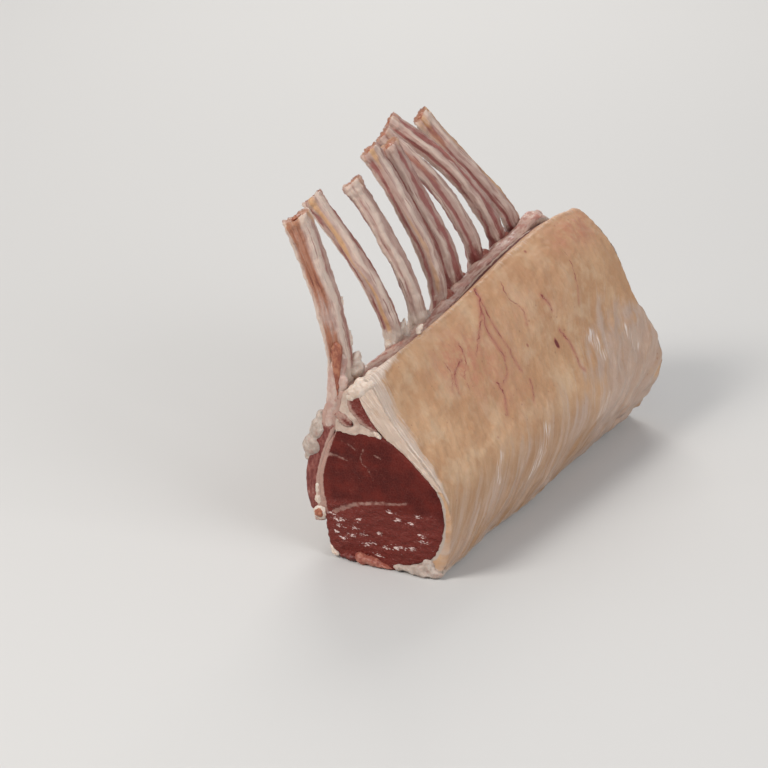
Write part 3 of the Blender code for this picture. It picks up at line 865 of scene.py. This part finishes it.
def make_bits():
    """Lumps and flaps round the front end of the wall, the eye and the cap."""
    white = white_look("torn_fat", BRIGHT_FAT, (0.60, 0.47, 0.38), (0.54, 0.36, 0.25))
    grey = white_look("wet_fat", (0.54, 0.45, 0.39), (0.40, 0.31, 0.26), (0.40, 0.22, 0.18), 2.2)
    pink = meat_bit_look("pink_trim", (0.30, 0.085, 0.060), (0.42, 0.17, 0.12))
    dark = meat_bit_look("dark_trim", (0.12, 0.017, 0.013), (0.19, 0.040, 0.030))
    marrow = meat_bit_look("marrow", (0.32, 0.10, 0.055), (0.47, 0.20, 0.115), 1.6)
    lump("wall_fat_lumps", grey, "white_fat", [
        ball((-20.8, -97, 56.6), (3.7, 2.9, 5.4), (0, 14, 0)),
        ball((-23.6, -97, 48.6), (4.7, 2.9, 5.0), (0, 24, 0)),
        ball((-25.0, -94, 43.2), (3.2, 4.8, 3.0), (0, -10, 0)),
        ball((-19.6, -96, 61.6), (2.6, 3.0, 3.2)), ball((-23.2, -89, 52.0), (3.8, 7.0, 7.0)),
    ], rough=0.45, size=4.5, seed=201)
    lump("shoulder_knob", white, "white_fat", [
        ball((-19.6, -96.9, 19.4), (3.9, 2.5, 3.9)), ball((-20.4, -97.0, 25.2), (2.2, 2.0, 3.8)),
        ball((-19.6, -94.0, 18.0), (3.4, 4.0, 3.2)), ball((-20.8, -97.2, 30.2), (1.5, 1.8, 3.2)),
    ], voxel=0.4, rough=0.25, size=2.4, seed=204)
    lump("knob_marrow", marrow, "bone", [
        ball((-19.7, -98.9, 19.2), (2.1, 1.0, 2.2)),
    ], voxel=0.3, size=1.2, seed=206)
    lump("pink_flap", pink, "lean", [
        ball((0.8, -98.6, 2.4), (3.6, 2.6, 2.6), (0, 10, 0)),
        ball((6.0, -98.9, 2.2), (5.2, 2.4, 1.9), (0, 8, 0)),
        ball((11.5, -98.8, 1.2), (3.8, 1.8, 1.0), (0, 10, 0)),
    ], voxel=0.4, rough=0.4, size=3.0, seed=208)
    lump("dark_flap", dark, "lean", [
        ball((-4.6, -97.9, 1.6), (3.4, 2.4, 1.8)), ball((-8.4, -97.4, 1.4), (2.2, 1.8, 1.2)),
    ], voxel=0.4, rough=0.4, size=2.4, seed=210)
    lump("cream_bit", white, "white_fat", [
        ball((-13.6, -97.9, 4.2), (1.2, 1.2, 2.0), (0, -35, 0)),
        ball((-12.2, -98.2, 2.2), (2.2, 1.5, 1.2), (0, 25, 0)),
    ], voxel=0.35, rough=0.25, size=1.6, seed=212)
    lump("lip_fat", grey, "white_fat", [
        ball((19.5, -98.3, 2.2), (5.0, 2.2, 1.5), (0, -6, 0)),
        ball((26.0, -98.4, 2.8), (4.8, 2.4, 2.3), (0, -14, 0)),
        ball((31.0, -98.0, 5.0), (3.2, 1.9, 3.6), (0, -30, 0)),
        ball((33.2, -97.8, 2.2), (4.4, 2.2, 1.9)), ball((28.5, -98.6, 1.5), (4.0, 2.4, 1.3)),
    ], voxel=0.42, rough=0.4, size=3.2, seed=214)
    corner = [
        ball((-1.0, -97.2, 81.4), (2.8, 1.9, 1.8), (0, -30, 0)),
        ball((-4.1, -97.9, 76.7), (2.2, 1.6, 2.2)),
        ball((-5.2, -97.6, 73.8), (2.2, 1.4, 1.9), (0, 30, 0)),
        ball((-3.2, -97.4, 76.6), (3.6, 1.9, 3.4), (0, -36, 0)),
        ball((0.0, -97.2, 78.6), (4.6, 2.0, 3.4), (0, -30, 0)),
        ball((2.2, -96.6, 79.8), (3.6, 2.2, 2.4), (0, -24, 0)),
        ball((-1.6, -94.0, 80.0), (3.2, 5.0, 1.8), (0, -24, 0)),
        ball((-0.8, -88.0, 81.6), (2.2, 5.6, 1.4), (8, -30, 0)),
    ]
    corner += chain([(0.5, -92.5, 81.4), (1.6, -86.0, 81.6), (2.6, -79.0, 81.8)], 1.2, 0.6)
    lump("cap_corner_fat", white, "white_fat", corner, rough=0.35, size=4.0, seed=216)
    lump("seam_tip_fat", white, "white_fat", [
        ball((7.2, -97.9, 59.3), (2.6, 1.2, 1.1), (0, 38, 0)),
    ], voxel=0.35, rough=0.2, size=1.6, seed=217)
    top = np.interp(-47, *top_line("fat_cap"))
    lump("edge_fat", white, "white_fat", [
        ball((1.0, -46.5, top + 0.2), (1.9, 2.3, 1.2), (20, -35, 0)),
        ball((1.9, -49.5, top - 0.5), (1.4, 1.7, 0.9)),
    ], voxel=0.35, size=1.8, seed=218)
    return white, grey, pink, marrow


# ---- the layers between the eye and the cap, and the rib wall ----

def make_layer(name, node, slot, look, voxel, swell, recess, seed, tilt=(0, 0)):
    """A thin layer that swells into its neighbours, with uneven cut faces.

    The tilt moves its front end along X and Z.
    """
    piece, points, normals = fine_copy(name, node, voxel, swell, squash=0.4, rounds=2)
    front, rear = cut_faces(points, normals)
    cut = front + rear
    height = cut * (recess + 0.35 * noise(points, 5, seed) + 0.22 * noise(points, 2, seed + 1, 2))
    height += (1 - cut) * 0.3 * noise(points, 3, seed + 2, 2)
    points = points + normals * height[:, None]
    near = step(points[:, 1], FRONT + 30, FRONT)
    points[:, 0] += tilt[0] * near
    points[:, 2] += tilt[1] * near
    move_to(piece, points)
    store(piece, "vein", np.full(len(points), 3.0))
    store(piece, "wet", 0.9 * cut)
    beside = gaps(points, tree_of(*cad_shape("seam_fat")), cut > 0.05) if slot == "lean" else 9.0
    store(piece, "pale", (0.40 + 0.30 * step(beside, 1.9, 0.6)) * cut)
    # These layers get no painted highlights.
    store(piece, "painted_glint", np.zeros(len(points)))
    return finish_piece(piece, look, slot, node)


class Rib:
    """Where a rib lies: its middle line from its head up, and where it leaves the meat."""

    def __init__(self, number, meat_top):
        self.number = number
        self.node = RIBS[number]
        points = cad_shape(self.node)[0]
        heights = np.linspace(points[:, 2].min() + 2, points[:, 2].max() - 2, 20)
        near = [bell(points[:, 2], height, 4.5) for height in heights]
        self.line = np.array([(points * share[:, None]).sum(0) / share.sum() for share in near])
        self.meat = max(z for _, y, z in self.line if z < np.interp(y, *meat_top))
        ahead = self.line[-1] - self.line[-3]
        self.ahead = ahead / np.linalg.norm(ahead)
        self.length = ((points - self.line[-1]) @ self.ahead).max()  # past the end of the line

    def at(self, z):
        """The middle of the rib at a height."""
        return np.array([np.interp(z, self.line[:, 2], self.line[:, i]) for i in range(3)])

    def y_at(self, z):
        return np.interp(z, self.line[:, 2], self.line[:, 1])

    def around(self, points):
        """Each point's place along the rib, and across it along X and along Y."""
        along = line_distance(points, self.line)[1] * (len(self.line) - 1)
        whole = np.clip(along.astype(int), 0, len(self.line) - 2)
        a, b = self.line[whole], self.line[whole + 1]
        middle = a + (b - a) * (along - whole)[:, None]
        tangent = (b - a) / np.linalg.norm(b - a, axis=1)[:, None]
        across = np.array([0, 1, 0]) - tangent * tangent[:, 1:2]
        across /= np.linalg.norm(across, axis=1)[:, None]
        through = np.cross(across, tangent)
        away = points - middle
        steps = np.concatenate([[0], np.cumsum(np.linalg.norm(np.diff(self.line, axis=0), axis=1))])
        far = np.interp(along, np.arange(len(steps)), steps)
        return far, (away * through).sum(1), (away * across).sum(1)


def make_wall(look, ribs):
    """The meat between and behind the ribs, with its top edge and its cut ends."""
    piece, points, normals = fine_copy("rib_wall_meat", "rib_wall", 0.85, 0.5, rounds=9)
    # The wall's foot ends in the knob on the front cut face.
    foot = step(points[:, 1], FRONT + 16, FRONT + 4) * step(points[:, 2], 24, 17)
    points[:, 2] += foot * 0.8 * (21 - points[:, 2])
    front, rear = cut_faces(points, normals)
    cut = front + rear
    y, z = points[:, 1], points[:, 2]
    inside = step(-normals[:, 0], 0.1, 0.6) * (1 - cut)
    apart = np.min([np.abs(y - rib.y_at(z)) for rib in ribs], axis=0)
    top = np.interp(y, *top_line("rib_wall"))
    # The meat sags between the ribs and climbs against them.
    sag = -1.5 * step(apart, 5.5, 10.5) * step(z, 20, 35) * step(top - z, 2, 10)
    ripple = 0.5 * noise(points, 8, 31, 2) + 0.25 * noise(points, (9, 2.2, 6), 32, 2)
    height = (sag + ripple) * inside + (1 - inside) * 0.3 * noise(points, 4.5, 33, 2)
    move_to(piece, points + normals * height[:, None])
    crest = step(normals[:, 2], 0.0, 0.35) * step(top - z, 5.0, 2.5) * (1 - cut)
    film = 0.75 * step(apart, 8.5, 5.0) + 0.20 + 0.35 * noise(points, 16, 34, 2) + 0.5 * step(z, 34, 20)
    store(piece, "cut", cut)
    store(piece, "smooth", crest)
    store_share(piece, "film", film * (1 - cut))
    # Along the top edge a dark line of torn meat lies beside the cap, and pale tissue behind it.
    beside = gaps(points, tree_of(*cad_shape("cap_lean")), crest > 0.05)
    far = np.interp(y, (-60, -10, 30, 70), (0.8, 1.6, 3.4, 2.6)) + 0.8 * noise(points, (4, 9, 4), 35, 2)
    line = crest * step(beside, far + 1.4, far - 0.4)
    feet = crest * step(apart, 7.5, 3.5) * step(y, -35, -5)
    store_share(piece, "crest", crest * (1.0 - 0.3 * feet))
    store_share(piece, "dark", 0.9 * line + 0.40 * feet)
    # White tissue lies between the wall and the eye on the cut faces.
    away = gaps(points, tree_of(*cad_shape("eye_muscle")), cut > 0.05)
    width = np.interp(z, (14, 22, 29, 40, 50, 57), (3.4, 3.2, 2.0, 1.5, 1.5, 1.8))
    seam = step(away, width + 0.9, width - 0.2) * cut
    web = step(y, REAR - 32, REAR - 24) * step(z, top - 9, top - 4)
    store(piece, "fatty", np.clip(1.1 * seam + 0.8 * step(z, 55, 62) * cut + 0.6 * web, 0, 1.2))
    store_share(piece, "white", 0.8 * web * step(y, REAR - 30, REAR - 12))
    return finish_piece(piece, look, "wall_lean", "rib_wall")


# The stripes along each rib: what they are, their angle round it in degrees, and about half their
# width in radians. 90 degrees faces the cap's side, 180 the front, -90 the cavity and 0 the rear.
STRIPES = (
    (("pale", 104, 0.4), ("pale", -142, 0.4), ("red", 72, 0.2), ("pale", 20, 0.5), ("red", -60, 0.3)),
    (("pale", 116, 0.4), ("gold", 160, 0.32), ("red", -160, 0.26), ("pale", -118, 0.4), ("red", 60, 0.3)),
    (("pale", 122, 0.45), ("pale", 176, 0.3), ("red", 150, 0.14), ("red", -130, 0.4), ("pale", -80, 0.4)),
    (("pale", 104, 0.32), ("gold", 134, 0.28), ("red", 172, 0.36), ("pale", -146, 0.22),
     ("red", -112, 0.34)),
    (("red", 100, 0.26), ("pale", 142, 0.34), ("red", -170, 0.32), ("pale", -132, 0.26),
     ("gold", -90, 0.3)),
    (("pale", 96, 0.3), ("red", 134, 0.28), ("pale", 172, 0.32), ("red", -140, 0.38), ("pale", -90, 0.3)),
    (("red", 92, 0.26), ("pale", 128, 0.34), ("red", 174, 0.34), ("pale", -142, 0.3), ("red", -100, 0.3)),
    (("pale", 100, 0.34), ("red", 146, 0.26), ("pale", -176, 0.34), ("red", -130, 0.38), ("gold", 60, 0.3)),
)


def stripes(number, kind, angle):
    """How much each point of a rib belongs to its stripes of this kind."""
    total = np.zeros(len(angle))
    for name, middle, width in STRIPES[number]:
        if name == kind:
            away = (angle - math.radians(middle) + math.pi) % math.tau - math.pi
            total += bell(away, 0, width)
    return total


def make_rib(rib, look):
    """A bone with ridges along it, a rough sawn tip, and tissue at its root."""
    number = rib.number
    swell = 0.05 if number == 0 else 0.5
    piece, points, normals = fine_copy(rib.node + "_bone", rib.node, 0.6, swell, rounds=6)
    far, through, across = rib.around(points)
    angle = np.arctan2(through / 3.0, across / 5.3)
    # Noise on the ring goes round the rib without a seam, is drawn out along it, and differs by rib.
    ring = np.stack([np.cos(angle), np.sin(angle), far / 26 + 3.1 * number], 1)
    z = points[:, 2]
    meat = rib.meat
    bare = step(z, meat - 2, meat + 6)
    wander = angle + 0.28 * noise(np.stack([far, 0 * far, 0 * far + 7 * number], 1), 26, 40, 2)
    pale, red, gold = (stripes(number, kind, wander) for kind in ("pale", "red", "gold"))
    # The side at 150 degrees, which shows most in the photo's view, is the palest: painted light there, and
    # painted shade on the far side and in the grooves.
    lit_facing = np.cos(angle - math.radians(150))
    grooves = noise(ring * (1, 1, 1.4), 0.42, 41 + number, 2)
    fine = noise(ring * (1, 1, 2.5), 0.24, 61 + number, 2)
    to_tip = rib.length - (points - rib.line[-1]) @ rib.ahead
    crust = step(to_tip, 8, 2)
    tip = step(normals @ rib.ahead, 0.72, 0.92) * step(to_tip, 4, 2)
    root = bell(z, meat + 1.0, 5.5)
    shreds = 1.4 if number < 3 else 0.7
    relief = 0.5 * (pale + 0.6 * gold - red) + 0.38 * grooves + 0.2 * fine
    height = relief * bare * (1 - 0.6 * tip) + 0.2 * noise(points, 4, 81 + number, 2) - 0.8 * tip
    height += crust * (1 - tip) * (0.7 * noise(points, 2.8, 91 + number, 2) + 0.35)
    height += root * shreds * (0.5 + 0.55 * noise(points, (3, 3, 6), 71 + number, 2))
    core = np.zeros(len(points))
    if number == 0:
        # The front rib is cut open along its front edge.
        groove = step(np.cos(wander - math.radians(164)), 0.66, 0.90)
        wide = np.interp(z, (66, 74, 88, 98, 106, 120, 148), (0.55, 0.8, 1.0, 0.8, 0.35, 0.95, 0.75))
        core = groove * wide * step(z, 66, 72)
        height -= 1.0 * core
    move_to(piece, points + normals * height[:, None])
    store(piece, "grain", np.stack([through + 7 * number, across, far], 1))
    patch = noise(np.stack([through * 2, across * 1.5, far + 40 * number], 1), (8, 8, 22), 51, 2)
    stain = noise(np.stack([through, across, far + 60 * number], 1), (9, 9, 30), 101, 2)
    late = step(number, 2.5, 3.5)  # 0 up to rib_3, half on rib_4, 1 from rib_5 on
    dip = np.clip(-grooves, 0, 1)
    # Painted light and shade: high on the side facing 150 degrees and on the ridges, low on the far side
    # and in the grooves.
    store_share(piece, "side", 0.45 + 0.35 * lit_facing + 0.3 * grooves)
    pale = (0.08 + 0.8 * pale + 0.35 * np.clip(grooves, 0, 1) + 0.3 * patch) * (1 - 0.25 * late)
    store_share(piece, "pale", pale)
    red = 0.12 + (0.55 + 0.4 * late) * red + 0.35 * dip + 0.5 * patch
    store_share(piece, "red", red * (1 - 0.5 * crust) * (1 - core))
    store_share(piece, "gold", (0.05 + 0.75 * gold + 0.45 * stain + 0.35 * crust) * bare)
    store(piece, "core", core)
    store_share(piece, "foot", late * bell(z, meat, 6.0) * (0.7 + 0.6 * patch + 0.3 * dip))
    store_share(piece, "white", root * (1.0 - late) + 0.35 * crust * (1 - tip))
    store_share(piece, "ends", 1.2 * tip + 0.2 * crust)
    return finish_piece(piece, look, "bone", rib.node)


def make_root_tissue(ribs, white, grey, pink, marrow):
    """Torn tissue at the feet of the bones, the gristle behind the last, and marrow in the tips."""
    gristle = white_look("gristle", (0.57, 0.42, 0.355), (0.45, 0.28, 0.235), (0.38, 0.14, 0.105), 4.0)
    foot = chain([(-12.8, -93.4, 87), (-13.0, -96.4, 79), (-13.2, -97.3, 73), (-14.4, -97.4, 65),
                  (-15.8, -97.4, 57)], 4.1, 2.6, 1.0, 0.48)
    foot.append(ball((-9.8, -96.4, 78.0), (3.0, 1.9, 4.4), (0, 25, 0)))
    lump("front_rib_foot", gristle, "bone", foot, size=5.0, seed=219)
    core = meat_bit_look("bone_core", (0.25, 0.075, 0.048), (0.40, 0.165, 0.095), 2.6)
    split = chain([(-12.6, -95.4, 93), (-12.0, -97.0, 85), (-11.2, -98.2, 78), (-10.6, -98.8, 72.5)],
                  3.0, 0.6, 0.95, 0.5)
    lump("front_rib_core", core, "bone", split, size=3.0, seed=221)
    lump("front_rib_tissue", white, "bone", [
        ball((-9.2, -84.5, 80.0), (2.8, 5.4, 3.6), (0, 25, 0)),
        ball((-10.6, -82.6, 84.0), (1.9, 3.2, 4.2), (0, 15, 0)),
        ball(ribs[0].at(92) + (2.2, 6.0, 0), (1.3, 1.8, 2.6), (-20, 0, 0)),
        ball(ribs[0].at(95) + (2.0, 7.0, 0), (0.8, 1.2, 1.7), (-35, 0, 0)),
    ], rough=0.35, size=2.6, seed=220)
    lump("front_rib_flake", white, "bone", [
        ball(ribs[0].at(108) + (2.2, 6.2, 0), (1.0, 1.5, 2.4), (-20, 0, 0)),
        ball(ribs[0].at(110) + (2.0, 7.2, 0), (0.7, 1.0, 1.2), (-35, 0, 0)),
    ], voxel=0.4, size=2.0, seed=225)
    second, third = ribs[1].at(ribs[1].meat), ribs[2].at(ribs[2].meat)
    tissue = [
        ball(second + (1.2, 3.2, 1.0), (3.2, 5.2, 2.8), (20, 20, 0)),
        ball(second + (0.8, -4.5, -0.8), (2.4, 4.8, 1.9), (-20, 10, 0)),
        ball(second + (3.6, 5.6, -0.6), (3.0, 3.2, 1.4), (0, 10, 0)),
    ]
    tissue += chain(second + [(1.6, 4.6, 2.0), (1.4, 6.2, 4.6), (1.0, 7.0, 6.4)], 1.8, 0.8)
    tissue += chain(second + [(1.8, 2.6, 3.0), (1.4, 3.6, 6.0)], 1.6, 0.8)
    lump("second_rib_tissue", white, "bone", tissue, rough=0.45, size=2.4, seed=222)
    lump("third_rib_tissue", grey, "bone", [
        ball(third + (1.2, 2.6, 0.6), (2.8, 5.0, 2.2), (16, 20, 0)),
        ball(third + (3.4, 4.8, -0.8), (3.0, 3.6, 1.3), (0, 10, 0)),
    ], rough=0.4, size=2.4, seed=223)
    feet = []
    for rib in ribs[3:]:
        middle = rib.at(rib.meat)
        feet.append(ball(middle + (1.6, 1.6, -0.6), (3.2, 6.4, 2.2), (12, 20, 0)))
        feet.append(ball(middle + (4.0, 3.4, -1.6), (3.2, 4.4, 1.5), (0, 12, 0)))
    lump("rib_foot_tissue", pink, "bone", feet, rough=0.45, size=3.0, seed=230)
    end = REAR - 2.6
    strip = chain([(-12.4, end - 19, 91.0), (-11.8, end - 13, 88.6), (-10.8, end - 7, 88.4),
                   (-9.8, end - 2, 90.2)], 3.9, 3.4, 0.8)
    strip.append(ball((-9.4, end - 0.9, 90.6), (2.9, 3.6, 3.3)))
    lump("rear_gristle", gristle, "bone", strip, rough=0.35, size=5.0, seed=224)
    tips = []
    for rib in ribs:
        middle = rib.line[-1] + rib.ahead * (rib.length - 0.9)
        lean = math.degrees(math.atan2(rib.ahead[0], rib.ahead[2]))
        fall = math.degrees(math.asin(-rib.ahead[1]))
        tips.append(ball(middle, (1.7, 3.1, 0.9), (fall, lean, 0)))
    lump("tip_marrow", marrow, "bone", tips, voxel=0.35, size=1.4, seed=226)


# ---- floor, lights and camera ----

def stage():
    """A pale floor and soft light from all round."""
    side = 3000
    corners = [(-side, -side, 0), (side, -side, 0), (side, side, 0), (-side, side, 0)]
    floor = add_object("floor", corners, [(0, 1, 2, 3)])
    floor.data.materials.append(Look("floor_paint", 0.75).done((0.60, 0.59, 0.575)))
    world = bpy.data.worlds.new("soft_room")
    world.use_nodes = True
    world.node_tree.nodes["Background"].inputs["Color"].default_value = (0.94, 0.96, 1.0, 1)
    world.node_tree.nodes["Background"].inputs["Strength"].default_value = 0.36
    bpy.context.scene.world = world


def light(name, place, size, power, colour):
    """A soft lamp that looks at the rack."""
    lamp = bpy.data.lights.new(name, "AREA")
    lamp.shape = "RECTANGLE"
    lamp.size, lamp.size_y = size
    lamp.energy = power
    lamp.color = colour
    made = bpy.data.objects.new(name, lamp)
    made.location = place
    towards = Vector((0, 0, 0.05)) - Vector(place)
    made.rotation_euler = towards.to_track_quat("-Z", "Y").to_euler()
    bpy.context.scene.collection.objects.link(made)


def camera():
    """The photo's view: 27 degrees round from the front cut face, 26 degrees down on its foot."""
    azimuth, elevation, distance = math.radians(27), math.radians(26), 1.25
    tilt = math.radians(3.51)  # the foot lies that far below the middle of the view
    across = 32.34 * MM  # how far the foot is from the eye muscle's left edge
    foot = Vector((EYE_LOW.x + across, EYE_LOW.y, 0))
    data = bpy.data.cameras.new("camera")
    data.sensor_width = 36
    data.lens = 140.6
    made = bpy.data.objects.new("camera", data)
    level = distance * math.cos(elevation)
    away = Vector((level * math.sin(azimuth), -level * math.cos(azimuth), distance * math.sin(elevation)))
    made.location = foot + away
    made.rotation_euler = (math.radians(90) - elevation + tilt, 0, azimuth)
    bpy.context.scene.collection.objects.link(made)
    bpy.context.scene.camera = made


# ---- everything ----

bpy.context.scene.view_settings.view_transform = "Standard"
stage()
camera()
light("key", (-0.55, -0.95, 1.05), (0.55, 0.55), 14.5, (1.0, 0.97, 0.93))
light("side", (1.1, -0.25, 0.75), (0.8, 0.8), 7.5, (0.97, 0.98, 1.0))
light("back", (-0.5, 1.0, 0.8), (0.7, 0.5), 7, (1.0, 0.98, 0.95))

lean = lean_look()
make_eye(lean)
cap = make_fat_cap(fat_look())
make_vessels(cap, meat_bit_look("vessel", (0.25, 0.055, 0.045), (0.40, 0.15, 0.105), 4.0))
white, grey, pink, marrow = make_bits()
make_layer("cap_lean_meat", "cap_lean", "lean", lean, 0.6, 0.55, 0.15, 21)
make_layer("small_muscle_meat", "small_muscle", "lean", lean, 0.5, 0.6, 0.35, 24, (-2.0, 0.8))
seam = white_look("seam_fat", WHITE_FAT, (0.50, 0.37, 0.30), (0.44, 0.25, 0.19))
make_layer("seam_fat_wedge", "seam_fat", "white_fat", seam, 0.65, 0.5, 0.0, 27)
meat_top = top_line("rib_wall")
ribs = [Rib(number, meat_top) for number in range(len(RIBS))]
make_wall(wall_look(), ribs)
bone = bone_look()
for rib in ribs:
    make_rib(rib, bone)
make_root_tissue(ribs, white, grey, pink, marrow)
